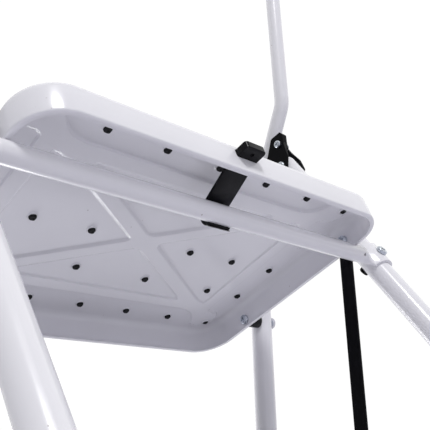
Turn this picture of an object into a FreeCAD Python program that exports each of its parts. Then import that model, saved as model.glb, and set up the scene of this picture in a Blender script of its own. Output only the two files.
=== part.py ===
import FreeCAD, Part
import math
import os

from FreeCAD import Vector

# Folding three-step ladder, standing open. Millimetres, +Z up.
# The origin is on the floor, midway between the four feet.
# The climber stands at -Y and faces +Y, so the climber's right is +X.

# Driving dimensions -------------------------------------------------------
step_count = 3
step_spacing = 235.0          # height from one step to the next
platform_top = 705.0          # height of the top platform's mat
foot_span = 618.5             # front to rear, between the leg axes on the floor
front_lean = 21.7             # degrees from upright
rear_lean = 15.0
leg_x = 236.4                 # both frames' legs lie in the same two planes
leg_r = 12.5
leg_wall = 1.2
rail_r = 9.5
rail_wall = 1.2
brace_r = 9.0
brace_wall = 1.2
vent_r = 1.5                  # the drain hole near the left end of a crossbar
vent_inset = 5.0

platform_y = 41.8             # the platform's middle
pan_half_width = 203.6
platform_half_depth = 143.8
pan_height = 32.3             # from the turned-in lip to the top of the pressed sheet
pan_corner_r = 38.0
pan_edge_r = 9.0              # where the skirts turn up into the panel
sheet = 1.2                   # thickness of the pressed sheet
mat_thickness = 4.7
mat_inset = 12.0              # from the pan's edges
lip_width = 5.3
rib_depth = 1.9
band_width = 16.4             # the pressed bands under the panel
band_corner_r = 4.0
ring_inset_x = 39.8           # from the pan's edges to the ring band
ring_inset_y = 46.6
arm_inset_x = 37.6            # from the pan's edges to the ends of the crossing bands
arm_inset_y = 36.8
pattern_offset = -2.0         # from the pan's middle to the middle of the bands and pegs
peg_r = 3.5
peg_length = 4.4              # below the mat
peg_inset = 27.8

front_bolt_y = -75.8          # from the platform's middle
front_bolt_drop = 26.0        # below the mat
rear_bolt_y = 87.4
rear_bolt_drop = 22.7
pivot_head_r = 5.6
pivot_rivet_r = 7.0
pivot_rivet_height = 1.0
bolt_r = 4.0
step_front_overhang = 40.0    # in front of the lower steps' pivot bolts
step_rear_overhang = 20.0
step_rear_corner_r = 12.0      # the lower steps' rear corners, just clear of their rear bolts
least_corner_r = 4.0
spacer_r = 8.0

link_width = 15.0
link_thickness = 2.5
link_gap = 0.6                # between a skirt and a link bar

hinge_rise = 125.6            # rear frame pivot above the mat
bracket_sheet = 3.0
screw_r = 3.0
running = 0.1                 # radial clearance of a bolt in its hole
gap = 0.3                     # clearance between parts that pass each other

latch_half_width = 12.0
strap_half_width = 13.5
strap_slope = 20.0

rail_bend_r = 40.0
rail_corner_r = 80.0
rail_top = 1230.0             # axis of the handrail's top bar
grip_length = 300.0
grip_r = 14.0
foot_length = 44.0
foot_width = 40.0
rear_brace_height = 165.0
front_brace_height = 75.0

# Worked-out places --------------------------------------------------------
front_tan = math.tan(math.radians(front_lean))
rear_tan = math.tan(math.radians(rear_lean))
front_up = Vector(0, front_tan, 1).normalize()
rear_up = Vector(0, -rear_tan, 1).normalize()
X_AXIS = Vector(1, 0, 0)
Y_AXIS = Vector(0, 1, 0)
Z_AXIS = Vector(0, 0, 1)
sides = {"left": -1, "right": 1}
link_inner_x = pan_half_width + link_gap
link_outer_x = link_inner_x + link_thickness
leg_inner_x = leg_x - leg_r
plate_inner_x = leg_r + gap   # from the leg's middle to a bracket plate
leg_foot_start = 14.0         # along a leg, from the floor to the tube's end
leg_top_height = platform_top + 99.0
rear_leg_top = platform_top + 145.0
collar_height = 8.0


def front_axis(z):
    """The front legs' axis at height z, in the middle plane."""
    return Vector(0, -foot_span / 2 + front_tan * z, z)


def rear_axis(z):
    """The rear legs' axis at height z, in the middle plane."""
    return Vector(0, foot_span / 2 - rear_tan * z, z)


def tread_height(step):
    """Height of a step's mat; step 0 is the platform."""
    return platform_top - step * step_spacing


def front_bolt(step):
    drop = step * step_spacing
    return Vector(0, platform_y + front_bolt_y - front_tan * drop, tread_height(step) - front_bolt_drop)


def rear_bolt(step):
    reach = Vector(0, rear_bolt_y - front_bolt_y, front_bolt_drop - rear_bolt_drop)
    return front_bolt(step) + reach


def pan_edges(step):
    """Front and rear edge of a step's pan along Y."""
    if step == 0:
        return platform_y - platform_half_depth, platform_y + platform_half_depth
    return front_bolt(step).y - step_front_overhang, rear_bolt(step).y + step_rear_overhang


hinge = rear_axis(platform_top + hinge_rise)
crossbar_drop = mat_thickness + pan_height + gap + brace_r
crossbar_height = platform_top - crossbar_drop
crossbar_offset = 5.9         # the bar's axis lies this far behind the legs' axis


# Basic shapes -------------------------------------------------------------
def rod(start, direction, length, radius):
    return Part.makeCylinder(radius, length, start, direction)


def tube(start, direction, length, outer, inner):
    return rod(start, direction, length, outer).cut(rod(start, direction, length, inner))


def box(x0, x1, y0, y1, z0, z1):
    return Part.makeBox(x1 - x0, y1 - y0, z1 - z0, Vector(x0, y0, z0))


def corner_arc(before, corner, after, radius):
    """Start, middle, end and centre of the arc that rounds a corner."""
    u = (before - corner).normalize()
    v = (after - corner).normalize()
    half = u.getAngle(v) / 2
    cut_back = radius / math.tan(half)
    centre = corner + (u + v).normalize() * (radius / math.sin(half))
    middle = centre + (corner - centre).normalize() * radius
    return corner + u * cut_back, middle, corner + v * cut_back, centre


def rounded_face(points, radii):
    """A flat face whose corners are rounded, each by its own radius."""
    arcs = []
    for i, point in enumerate(points):
        after = points[(i + 1) % len(points)]
        arcs.append(corner_arc(points[i - 1], point, after, radii[i]))
    edges = []
    for i, (start, middle, end, _) in enumerate(arcs):
        edges.append(Part.Arc(start, middle, end).toShape())
        following = arcs[(i + 1) % len(arcs)][0]
        if (following - end).Length > 1e-6:
            edges.append(Part.LineSegment(end, following).toShape())
    return Part.Face(Part.Wire(edges))


def rounded_box(half_width, y0, y1, z0, z1, front_r, rear_r):
    """A box with upright rounded corners, centred on X."""
    points = [Vector(-half_width, y0, z0), Vector(half_width, y0, z0),
              Vector(half_width, y1, z0), Vector(-half_width, y1, z0)]
    return rounded_face(points, [front_r, front_r, rear_r, rear_r]).extrude(Vector(0, 0, z1 - z0))


def side_plate(outline, radii, x0, x1):
    """A plate in a side plane; the outline is given as (y, z)."""
    points = [Vector(x0, y, z) for y, z in outline]
    return rounded_face(points, radii).extrude(Vector(x1 - x0, 0, 0))


def ring_face(centre, direction, outer, inner):
    big = Part.Wire(Part.Circle(centre, direction, outer).toShape())
    small = Part.Wire(Part.Circle(centre, direction, inner).toShape())
    return Part.Face(big).cut(Part.Face(small)).Faces[0]


def bent_tube(points, radii, outer, inner):
    """A round tube along straight runs that are joined by tangent arcs."""
    pieces = []
    position = points[0]
    for i in range(1, len(points) - 1):
        start, _, end, centre = corner_arc(points[i - 1], points[i], points[i + 1], radii[i - 1])
        into = (points[i] - points[i - 1]).normalize()
        out = (points[i + 1] - points[i]).normalize()
        pieces.append(tube(position, into, (start - position).Length, outer, inner))
        turn = math.degrees(into.getAngle(out))
        pieces.append(ring_face(start, into, outer, inner).revolve(centre, into.cross(out), turn))
        position = end
    last = points[-1] - position
    pieces.append(tube(position, last, last.Length, outer, inner))
    return pieces[0].multiFuse(pieces[1:]).removeSplitter()


def mirrored(shape):
    return shape.mirror(Vector(0, 0, 0), X_AXIS)


def at_x(point, x):
    return Vector(x, point.y, point.z)


# Fasteners ----------------------------------------------------------------
head_height = 3.6
head_r = 6.0
nut_flange = 2.0
recess_width = 1.3
recess_depth = 1.8


def cross_recess(point, direction, radius):
    """A cross-shaped driver recess, cut from the point along the direction."""
    across = X_AXIS if abs(direction.x) < 0.5 else Z_AXIS
    slots = []
    for sideways in (across, direction.cross(across)):
        other = direction.cross(sideways)
        corner = point - sideways * radius - other * (recess_width / 2)
        slot = Part.makeBox(2 * radius, recess_width, recess_depth)
        slot.Placement = FreeCAD.Placement(corner, FreeCAD.Rotation(sideways, other, direction, "XYZ"))
        slots.append(slot)
    return slots[0].fuse(slots[1])


def bolt(seat, direction, length, radius, head=head_r):
    """A pan-head bolt: the head stands behind the seat, the shank in front of it."""
    way = Vector(direction).normalize()
    top = seat - way * head_height
    crown = rod(top, way, head_height, head)
    crown = crown.makeFillet(1.5, [edge_near(crown, top, head)])
    body = crown.fuse(rod(seat, way, length, radius))
    return body.cut(cross_recess(top, way, head * 0.62)).removeSplitter()


def edge_near(shape, centre, radius):
    """The circular edge with this centre and radius."""
    for edge in shape.Edges:
        curve = edge.Curve
        if isinstance(curve, Part.Circle) and abs(curve.Radius - radius) < 1e-6:
            if (curve.Center - centre).Length < 1e-6:
                return edge
    raise ValueError("no such edge")


def cap_nut(seat, direction, radius, reach):
    """A flanged domed nut over the end of a shank; reach is how far the shank enters it."""
    way = Vector(direction).normalize()
    dome_r = radius * 1.5
    dome_base = seat + way * (reach - 0.3 * dome_r)
    flange = rod(seat, way, nut_flange, radius * 1.75)
    barrel = rod(seat, way, (dome_base - seat).Length, dome_r)
    dome = Part.makeSphere(dome_r, dome_base)
    body = flange.fuse([barrel, dome]).common(rod(seat, way, reach + 2 * dome_r, 3 * radius))
    return body.cut(rod(seat, way, reach + gap, radius + 0.05)).removeSplitter()


def both_sides(make):
    """The piece on the right side and its mirror image, as separate solids."""
    shape = make()
    return Part.makeCompound([shape, mirrored(shape)])


# Frames -------------------------------------------------------------------
def cross_hole(point, direction, radius, reach=40.0):
    """A drill through a leg, along the direction, with its middle at the point."""
    way = Vector(direction).normalize()
    return rod(point - way * reach, way, 2 * reach, radius)


front_rear_way = X_AXIS.cross(front_up) * -1   # square to a front leg, rearward
rear_rear_way = X_AXIS.cross(rear_up) * -1     # square to a rear leg, rearward
bracket_bolt_heights = [platform_top + 83.0, platform_top + 55.0]


def front_leg(side):
    start = front_axis(0) + front_up * leg_foot_start
    length = (front_axis(leg_top_height) - start).Length
    leg = tube(at_x(start, side * leg_x), front_up, length, leg_r, leg_r - leg_wall)
    for step in range(step_count):
        leg = leg.cut(cross_hole(at_x(front_bolt(step), side * leg_x), X_AXIS, bolt_r + running))
    for height in bracket_bolt_heights:
        leg = leg.cut(cross_hole(at_x(front_axis(height), side * leg_x), X_AXIS, screw_r + running))
    brace_point = at_x(front_axis(front_brace_height), side * leg_x)
    return leg.cut(cross_hole(brace_point, front_rear_way, screw_r + running))


def rear_leg(side):
    start = rear_axis(0) + rear_up * leg_foot_start
    dome_base = rear_axis(rear_leg_top) - rear_up * leg_r
    length = (dome_base - start).Length
    inner = leg_r - leg_wall
    leg = rod(at_x(start, side * leg_x), rear_up, length, leg_r)
    leg = leg.fuse(Part.makeSphere(leg_r, at_x(dome_base, side * leg_x)))
    leg = leg.cut(rod(at_x(start, side * leg_x), rear_up, length, inner))
    leg = leg.cut(Part.makeSphere(inner, at_x(dome_base, side * leg_x)))
    leg = leg.cut(cross_hole(at_x(hinge, side * leg_x), X_AXIS, bolt_r + running))
    for height in (crossbar_height, rear_brace_height):
        point = at_x(rear_axis(height), side * leg_x)
        leg = leg.cut(cross_hole(point, rear_rear_way, screw_r + running))
    return leg.removeSplitter()


def foot(floor_point, up, side):
    """A moulded foot that cups the end of a leg and stands flat on the floor."""
    base = at_x(floor_point, side * leg_x)
    sleeve = rod(base - up * 30, up, 30 + 50, leg_r + 3.5)
    above = box(-400, 400, -500, 500, 0, 200)
    points = [Vector(base.x - foot_width / 2, base.y - foot_length / 2, 0),
              Vector(base.x + foot_width / 2, base.y - foot_length / 2, 0),
              Vector(base.x + foot_width / 2, base.y + foot_length / 2, 0),
              Vector(base.x - foot_width / 2, base.y + foot_length / 2, 0)]
    sole = rounded_face(points, [12] * 4).extrude(Vector(0, 0, 9))
    body = sleeve.common(above).fuse(sole)
    bore = rod(base + up * (leg_foot_start - 0.05), up, 80, leg_r + 0.05)
    return body.cut(bore).removeSplitter()


saddle_sheet = 3.0
saddle_half_height = 14.5
saddle_reach = 1.9            # how far a screw goes into its nut
low_nut_height = 3.0
low_nut_r = 5.4
flat_half_thickness = 1.8
round_half_length = 208.0     # the bar is round between its flattened ends


def saddle_bar(height, axis_at, up, rear_way):
    """A tube across a frame whose flattened ends lap round the rear of both legs."""
    leg_point = at_x(axis_at(height), leg_x)
    bar_y = leg_point.y + crossbar_offset
    bar = tube(Vector(-round_half_length, bar_y, height), X_AXIS, 2 * round_half_length,
               brace_r, brace_r - brace_wall)
    inner = leg_r + running
    outer = inner + saddle_sheet
    edge_x = leg_x - math.sqrt((outer - saddle_sheet / 2) ** 2 - crossbar_offset ** 2)
    round_end = Part.Wire(Part.Circle(Vector(round_half_length, bar_y, height), X_AXIS, brace_r).toShape())
    middle = Vector(edge_x, bar_y, height)
    ellipse = Part.Ellipse(middle + up * saddle_half_height, middle + rear_way * flat_half_thickness, middle)
    flat_end = Part.Wire(ellipse.toShape())
    neck = Part.makeLoft([round_end, flat_end], True, True)
    band = tube(leg_point - up * saddle_half_height, up, 2 * saddle_half_height, outer, inner)
    keep = Part.makeBox(2 * outer, outer, 3 * saddle_half_height)
    corner = leg_point - X_AXIS * outer - up * (1.5 * saddle_half_height)
    corner = corner + rear_way * (crossbar_offset - flat_half_thickness)
    keep.Placement = FreeCAD.Placement(corner, FreeCAD.Rotation(X_AXIS, rear_way, up, "XYZ"))
    end = neck.fuse(band.common(keep)).cut(rod(leg_point - up * 40, up, 80, inner))
    end = end.cut(cross_hole(leg_point, rear_way, screw_r + running))
    vent_point = Vector(round_half_length - vent_inset, bar_y, height)
    vent = rod(vent_point, rear_way - Z_AXIS, brace_r + 2, vent_r)
    return bar.fuse([end, mirrored(end)]).cut(mirrored(vent)).removeSplitter()


def saddle_screw(height, axis_at, rear_way):
    seat_distance = leg_r + running + saddle_sheet + 0.05
    seat = at_x(axis_at(height), leg_x) + rear_way * seat_distance
    return bolt(seat, rear_way * -1, seat_distance + leg_r + saddle_reach, screw_r)


def saddle_nut(height, axis_at, rear_way):
    seat = at_x(axis_at(height), leg_x) - rear_way * (leg_r + 0.05)
    way = rear_way * -1
    nut = rod(seat, way, low_nut_height, low_nut_r)
    nut = nut.makeFillet(1.2, [edge_near(nut, seat + way * low_nut_height, low_nut_r)])
    return nut.cut(rod(seat, way, saddle_reach + gap, screw_r + 0.05))


# Handrail -----------------------------------------------------------------
rail_knee = front_axis(platform_top + 117.2)
rail_shoulder = Vector(0, platform_y + 73.8, platform_top + 215.6)
rail_top_lean = 20.0
rail_socket = 45.0            # how far the rail reaches into the front leg


def handrail():
    rise = rail_top - rail_shoulder.z
    top = rail_shoulder + Vector(0, rise * math.tan(math.radians(rail_top_lean)), rise)
    start = front_axis(leg_top_height) - front_up * rail_socket
    profile = [start, rail_knee, rail_shoulder, top]
    points = [at_x(p, leg_x) for p in profile] + [at_x(p, -leg_x) for p in reversed(profile)]
    radii = [rail_bend_r, rail_bend_r, rail_corner_r, rail_corner_r, rail_bend_r, rail_bend_r]
    rail = bent_tube(points, radii, rail_r, rail_r - rail_wall)
    drills = [cross_hole(at_x(front_axis(height), side * leg_x), X_AXIS, screw_r + running)
              for height in bracket_bolt_heights for side in sides.values()]
    return rail.cut(drills)


def handrail_grip():
    rise = rail_top - rail_shoulder.z
    top_y = rail_shoulder.y + rise * math.tan(math.radians(rail_top_lean))
    start = Vector(-grip_length / 2, top_y, rail_top)
    grip = tube(start, X_AXIS, grip_length, grip_r, rail_r + 0.05)
    ends = [edge_near(grip, start, grip_r), edge_near(grip, start + X_AXIS * grip_length, grip_r)]
    return grip.makeFillet(3.0, ends)


def leg_top_collar():
    """The plastic ring that closes the leg's top round the thinner rail."""
    seat = at_x(front_axis(leg_top_height), leg_x)
    bore = rail_r + 0.05
    spigot = tube(seat - front_up * 12, front_up, 12, leg_r - leg_wall - 0.05, bore)
    cap = tube(seat, front_up, collar_height, leg_r, bore)
    cap = cap.makeChamfer(2.0, [edge_near(cap, seat + front_up * collar_height, leg_r)])
    return cap.fuse(spigot).removeSplitter()


# Hinge brackets -----------------------------------------------------------
# Outlines of a bracket's plates in the side plane: (y, z) from the platform's middle and the top of its mat.
# The inner plate has a narrow flange along its rear edge; the outer plate's rear edge is drawn forward.
inner_outline = [
    (46.5, 170.8), (32.9, 154.2), (0.0, 121.0), (-14.0, 127.0), (-34.0, 118.0), (-57.0, 60.0), (-47.0, 38.0),
    (-20.0, 42.0), (36.0, 104.0), (45.0, 108.0), (52.5, 122.0), (58.8, 134.0), (61.0, 153.7), (64.5, 164.8),
    (62.1, 169.8),
]
inner_corner_r = [4, 30, 12, 8, 12, 12, 12, 30, 8, 10, 8, 12, 8, 3, 2]
outer_outline = [
    (38.0, 176.0), (30.0, 158.0), (0.0, 121.0), (-14.0, 127.0), (-34.0, 118.0), (-57.0, 60.0), (-47.0, 38.0),
    (-20.0, 42.0), (36.0, 104.0), (48.0, 110.0), (56.7, 122.5), (55.9, 138.1), (49.0, 157.0), (44.0, 178.0),
]
outer_corner_r = [2, 20, 12, 8, 12, 12, 12, 30, 8, 10, 4, 12, 30, 2]
flange_outline = [(62.1, 169.8), (64.5, 164.8), (61.0, 153.7), (60.1, 146.0),
                  (57.1, 146.0), (58.0, 154.2), (61.2, 164.6), (59.4, 168.5)]
flange_width = 8.0
stop_point = Vector(0, platform_y + 53.4, platform_top + 156.0)
stop_head_r = 4.8
stop_bolt_length = 8.0
post_r = 4.5
post_length = 12.0


def placed(outline):
    return [(platform_y + y, platform_top + z) for y, z in outline]


def hinge_bracket(side):
    """Two pressed plates bolted to both sides of a leg; the rear frame turns between them."""
    inner = plate_inner_x
    outer = inner + bracket_sheet
    inner_plate = side_plate(placed(inner_outline), inner_corner_r, leg_x - outer, leg_x - inner)
    outer_plate = side_plate(placed(outer_outline), outer_corner_r, leg_x + inner, leg_x + outer)
    flange_points = [Vector(leg_x - outer, y, z) for y, z in placed(flange_outline)]
    flange = Part.Face(Part.makePolygon(flange_points + flange_points[:1]))
    flange = flange.extrude(Vector(flange_width, 0, 0))
    inner_plate = inner_plate.fuse(flange).cut(cross_hole(at_x(stop_point, leg_x), X_AXIS, screw_r + running))
    bracket = Part.makeCompound([inner_plate.removeSplitter(), outer_plate])
    holes = [cross_hole(at_x(hinge, leg_x), X_AXIS, bolt_r + running)]
    for height in bracket_bolt_heights:
        holes.append(cross_hole(at_x(front_axis(height), leg_x), X_AXIS, screw_r + running))
    bracket = bracket.cut(holes)
    return bracket if side > 0 else mirrored(bracket)


cheek_reach = plate_inner_x + bracket_sheet + 0.05


def cheek_bolt(point, radius):
    """A bolt across a bracket, its head on the inner cheek."""
    return bolt(at_x(point, leg_x - cheek_reach), X_AXIS, 2 * cheek_reach + 5.0, radius)


def cheek_nut(point, radius):
    return cap_nut(at_x(point, leg_x + cheek_reach), X_AXIS, radius, 5.0)


def stop_bolt():
    """The screw that holds the stop post on a bracket's inner plate."""
    seat = at_x(stop_point, leg_x - cheek_reach)
    return bolt(seat, X_AXIS, bracket_sheet + stop_bolt_length, screw_r, stop_head_r)


def stop_post():
    """A threaded post beside the inner plate."""
    start = at_x(stop_point, leg_x - plate_inner_x + 0.05)
    post = rod(start, X_AXIS, post_length, post_r)
    return post.cut(rod(start, X_AXIS, stop_bolt_length + 0.5, screw_r + 0.05))


# Steps --------------------------------------------------------------------
def peg_places(step):
    """Where the mat's pegs go through the panel: (x, y) over the whole pan."""
    front, rear = pan_edges(step)
    middle = (front + rear) / 2 + pattern_offset
    half = (rear - front) / 2 - peg_inset
    outer_row = [60.0 * i for i in range(-3, 4)]
    middle_row = [60.0 * i for i in (-3, -2, -1, 1, 2, 3)]
    between_row = [-180.0, -131.2, -42.2, 42.2, 131.2, 180.0]
    rows = [(1.0, outer_row), (0.48, between_row), (0.0, middle_row), (-0.48, between_row), (-1.0, outer_row)]
    return [(x, middle + share * half) for share, row in rows for x in row]


def ribs(step, z0, z1):
    """The pressed band round the panel, and the two that cross in its middle and run on to its corners."""
    front, rear = pan_edges(step)
    middle = (front + rear) / 2 + pattern_offset
    half_depth = (rear - front) / 2
    half_x = pan_half_width - ring_inset_x
    half_y = half_depth - ring_inset_y
    inner_x = half_x - band_width
    inner_y = half_y - band_width
    ring = rounded_box(half_x, middle - half_y, middle + half_y, z0, z1, band_corner_r, band_corner_r)
    window = rounded_box(inner_x, middle - inner_y, middle + inner_y, z0, z1, band_corner_r, band_corner_r)
    shape = ring.cut(window)
    centre = Vector(0, middle, z0)
    for way in (1, -1):
        arm = Vector(pan_half_width - arm_inset_x, way * (half_depth - arm_inset_y), 0)
        across = Vector(0, 0, 1).cross(arm).normalize() * (band_width / 2)
        end = arm + arm * (band_width / 2 / arm.Length)
        corners = [centre - end - across, centre + end - across, centre + end + across, centre - end + across]
        shape = shape.fuse(rounded_face(corners, [band_width / 2 - 0.01] * 4).extrude(Vector(0, 0, z1 - z0)))
    return shape


def pan_layer(step, inset, z0, z1):
    """A slab with a step's outline in plan, drawn in from its edge by the inset."""
    front, rear = pan_edges(step)
    rear_r = pan_corner_r if step == 0 else step_rear_corner_r
    return rounded_box(pan_half_width - inset, front + inset, rear - inset, z0, z1,
                       pan_corner_r - inset, max(rear_r - inset, least_corner_r))


def pan(step):
    """A pressed step: a panel with deep skirts round it, which end in a turned-in lip."""
    top = tread_height(step) - mat_thickness
    bottom = top - pan_height
    panel_under = top - sheet
    body = rounded_top(pan_layer(step, 0, bottom, top), top, pan_edge_r)
    inside = rounded_top(pan_layer(step, sheet, bottom + sheet, panel_under), panel_under, pan_edge_r - sheet)
    mouth = pan_layer(step, lip_width, bottom - 1, bottom + sheet)
    body = body.cut([inside, mouth])
    body = body.fuse(ribs(step, panel_under - rib_depth, panel_under))
    holes = [rod(Vector(x, y, bottom), Z_AXIS, pan_height, peg_r + running) for x, y in peg_places(step)]
    for point in (front_bolt(step), rear_bolt(step)):
        holes += [cross_hole(at_x(point, s * pan_half_width), X_AXIS, bolt_r + running, 20.0)
                  for s in sides.values()]
    if step == 0:
        holes.append(latch_slot())
    body = body.cut(holes)
    if step == 0:
        body = body.fuse(spring_seat(panel_under))
    return body.removeSplitter()


def rounded_top(body, top, radius):
    """The slab with the edge round its top face rounded off."""
    edges = [e for e in body.Edges if abs(e.BoundBox.ZMin - top) < 1e-6 and abs(e.BoundBox.ZMax - top) < 1e-6]
    return body.makeFillet(radius, edges)


def mat(step):
    """The rubber mat on the panel, held by pegs that go through it."""
    top = tread_height(step)
    body = pan_layer(step, mat_inset, top - mat_thickness, top)
    depth = mat_thickness + peg_length
    body = body.fuse([rod(Vector(x, y, top - depth), Z_AXIS, depth, peg_r) for x, y in peg_places(step)])
    return body.removeSplitter()


skirt_seat_x = pan_half_width - sheet - gap


def pivot_bolts():
    """The bolts that each step turns on, through its skirt, a spacer and the front leg."""
    reach = leg_x + leg_r + 0.05 - skirt_seat_x
    shapes = [bolt(at_x(front_bolt(step), skirt_seat_x), X_AXIS, reach, bolt_r, pivot_head_r)
              for step in range(step_count)]
    return Part.makeCompound(shapes + [mirrored(s) for s in shapes])


def pivot_spacers():
    start = pan_half_width + gap
    length = leg_inner_x - 0.05 - start
    shapes = []
    for step in range(step_count):
        spacer = tube(at_x(front_bolt(step), start), X_AXIS, length, spacer_r, bolt_r + running)
        leg_axis = rod(at_x(front_axis(0), leg_x), front_up, leg_top_height * 2, leg_r + 0.05)
        shapes.append(spacer.cut(leg_axis))
    return Part.makeCompound(shapes + [mirrored(s) for s in shapes])


def pivot_nuts():
    """The low caps that close the pivot bolts' far ends, flush on the legs' outer sides."""
    seat_x = leg_x + leg_r + 0.05
    shapes = []
    for step in range(step_count):
        seat = at_x(front_bolt(step), seat_x)
        cap = rod(seat, X_AXIS, pivot_rivet_height, pivot_rivet_r)
        face_edge = edge_near(cap, seat + X_AXIS * pivot_rivet_height, pivot_rivet_r)
        shapes.append(cap.makeFillet(0.8, [face_edge]))
    return Part.makeCompound(shapes + [mirrored(s) for s in shapes])


def link_bolts(step):
    """The bolts at a step's rear, which the link bars turn on."""
    reach = link_outer_x + gap + 3.4 - skirt_seat_x - 0.25
    seat = at_x(rear_bolt(step), skirt_seat_x + 0.25)
    return both_sides(lambda: bolt(seat, X_AXIS, reach, bolt_r, pivot_head_r))


def link_nuts(step):
    return both_sides(lambda: cap_nut(at_x(rear_bolt(step), link_outer_x + gap), X_AXIS, bolt_r, 3.4))


def link_bar(side):
    """A flat bar that joins the rear bolts of all the steps, so that they fold together."""
    top = rear_bolt(0)
    foot_end = rear_bolt(step_count - 1)
    along = (top - foot_end).normalize()
    across = X_AXIS.cross(along)
    half = link_width / 2
    ends = [foot_end - along * half, top + along * half]
    corners = [ends[0] - across * half, ends[1] - across * half, ends[1] + across * half, ends[0] + across * half]
    corners = [at_x(c, link_inner_x) for c in corners]
    bar = rounded_face(corners, [half - 0.01] * 4).extrude(Vector(link_thickness, 0, 0))
    for step in range(step_count):
        clearance = running if step == 0 else gap
        hole = rod(at_x(rear_bolt(step), link_inner_x - 1), X_AXIS, link_thickness + 2, bolt_r + clearance)
        bar = bar.cut(hole)
    return bar if side > 0 else mirrored(bar)


# Latch --------------------------------------------------------------------
button_out = 13.3             # how far the push button stands out behind the rear skirt
button_top = 14.5             # the button's top and underside, below the mat
button_under = 22.0
hook_sheet = 3.2
hook_tip_angle = 60.0         # how far below level the hook's nose reaches
spring_r = 3.0
spring_wire = 1.1
spring_drop = 12.5            # the spring's axis, below the mat
seat_from_skirt = 19.6        # where the spring pushes on the pan
seat_under = 16.0
tab_from_skirt = 7.6          # where it pushes on the latch
tab_thickness = 3.0
tab_top = 9.2


def latch_slot():
    """The slot in the rear skirt that the push button slides through."""
    rear = pan_edges(0)[1]
    reach = latch_half_width + 0.4
    return box(-reach, reach, rear - sheet - 0.5, rear + 1,
               platform_top - button_under - 0.4, platform_top - button_top + 0.4)


def spring_seat(panel_under):
    rear = pan_edges(0)[1]
    return box(-5.0, 5.0, rear - seat_from_skirt - 2.0, rear - seat_from_skirt,
               platform_top - seat_under, panel_under)


def latch_hook():
    """Push button, sloping strap, spring tab and C-shaped hook, moulded in one piece."""
    rear = pan_edges(0)[1]
    bar = Vector(0, rear_axis(crossbar_height).y + crossbar_offset, crossbar_height)
    inner = brace_r + gap
    outer = inner + hook_sheet
    slope = math.radians(strap_slope)
    normal = Vector(0, -math.sin(slope), math.cos(slope))
    along = Vector(0, math.cos(slope), math.sin(slope))
    length = (rear - sheet - gap - (bar + normal * inner).y) / along.y
    strap_points = [bar + normal * inner, bar + normal * inner + along * length,
                    bar + normal * outer + along * length, bar + normal * outer]
    start = Vector(-strap_half_width, 0, 0)
    strap_points = [start + p for p in strap_points]
    width = Vector(2 * strap_half_width, 0, 0)
    strap = Part.Face(Part.makePolygon(strap_points + strap_points[:1])).extrude(width)
    ring = tube(start + bar, X_AXIS, 2 * strap_half_width, outer, inner)
    tip = math.radians(hook_tip_angle)
    far = 3 * outer
    wedge = [bar, bar + normal * far, bar + Vector(0, -far, far * 0.2),
             bar + Vector(0, -far * math.cos(tip), -far * math.sin(tip))]
    wedge = [start + p for p in wedge]
    curl = ring.common(Part.Face(Part.makePolygon(wedge + wedge[:1])).extrude(width))
    button = box(-latch_half_width, latch_half_width, rear - tab_from_skirt, rear + button_out,
                 platform_top - button_under, platform_top - button_top)
    outer_edges = [e for e in button.Edges if e.BoundBox.YMin > rear]
    button = button.makeFillet(2.5, outer_edges)
    tab = box(-5.0, 5.0, rear - tab_from_skirt, rear - tab_from_skirt + tab_thickness,
              platform_top - button_top - 2.0, platform_top - tab_top)
    return button.fuse([strap, curl, tab]).removeSplitter()


def latch_spring():
    """The outer shape of the coil spring that returns the push button."""
    rear = pan_edges(0)[1]
    start = Vector(0, rear - seat_from_skirt, platform_top - spring_drop)
    return tube(start, Y_AXIS, seat_from_skirt - tab_from_skirt, spring_r, spring_r - spring_wire)


# Export -------------------------------------------------------------------
step_names = ["platform", "middle_step", "bottom_step"]
bracket_points = [front_axis(height) for height in bracket_bolt_heights]


def cheek_group(make, points, radius):
    shapes = [make(point, radius) for point in points]
    return Part.makeCompound(shapes + [mirrored(s) for s in shapes])


def saddle_group(make, heights, axis_at, rear_way):
    shapes = [make(height, axis_at, rear_way) for height in heights]
    return Part.makeCompound(shapes + [mirrored(s) for s in shapes])


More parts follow.
